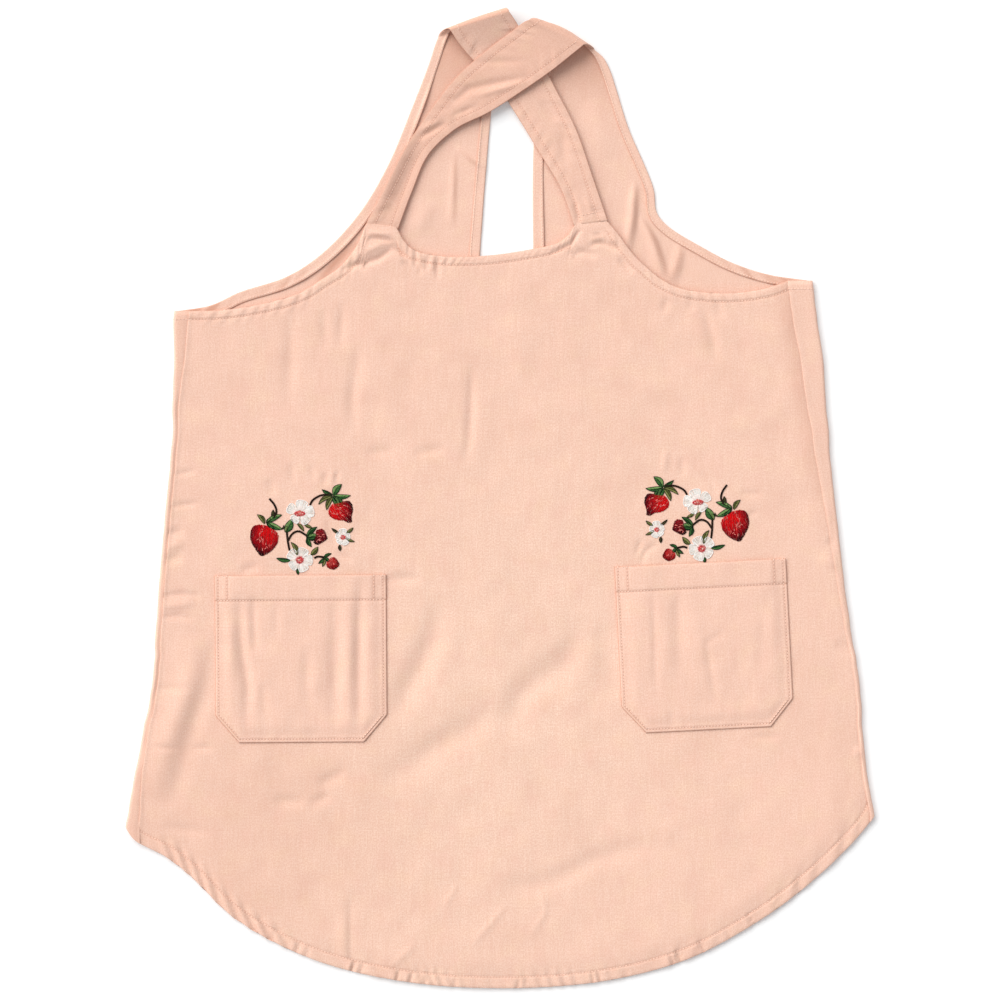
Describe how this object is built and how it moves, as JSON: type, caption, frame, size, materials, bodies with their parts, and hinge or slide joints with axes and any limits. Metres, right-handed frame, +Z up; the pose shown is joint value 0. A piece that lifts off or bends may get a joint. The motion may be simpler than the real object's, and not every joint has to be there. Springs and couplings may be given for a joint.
{
  "type": "cross-back apron",
  "caption": "Pullover cotton apron lying flat: a front with scooped neck and curved hem, back panels in one with crossed straps, and patch pockets.",
  "frame": {"origin": "on the table under the middle of the laid apron's box", "axes": "+Z up from the table, +Y towards the shoulder folds, +X to the right of a viewer who looks down at the front"},
  "size_m": [0.6898, 0.9014, 0.0104],
  "materials": {
    "peach_cotton": "matte plain weave"
  },
  "bodies": {
    "root": {"front_panel": "peach_cotton", "back_panel_left": "peach_cotton", "back_panel_right": "peach_cotton", "strap_left": "peach_cotton", "strap_right": "peach_cotton", "pocket_left": "peach_cotton", "pocket_right": "peach_cotton"}
  },
  "joints": []
}
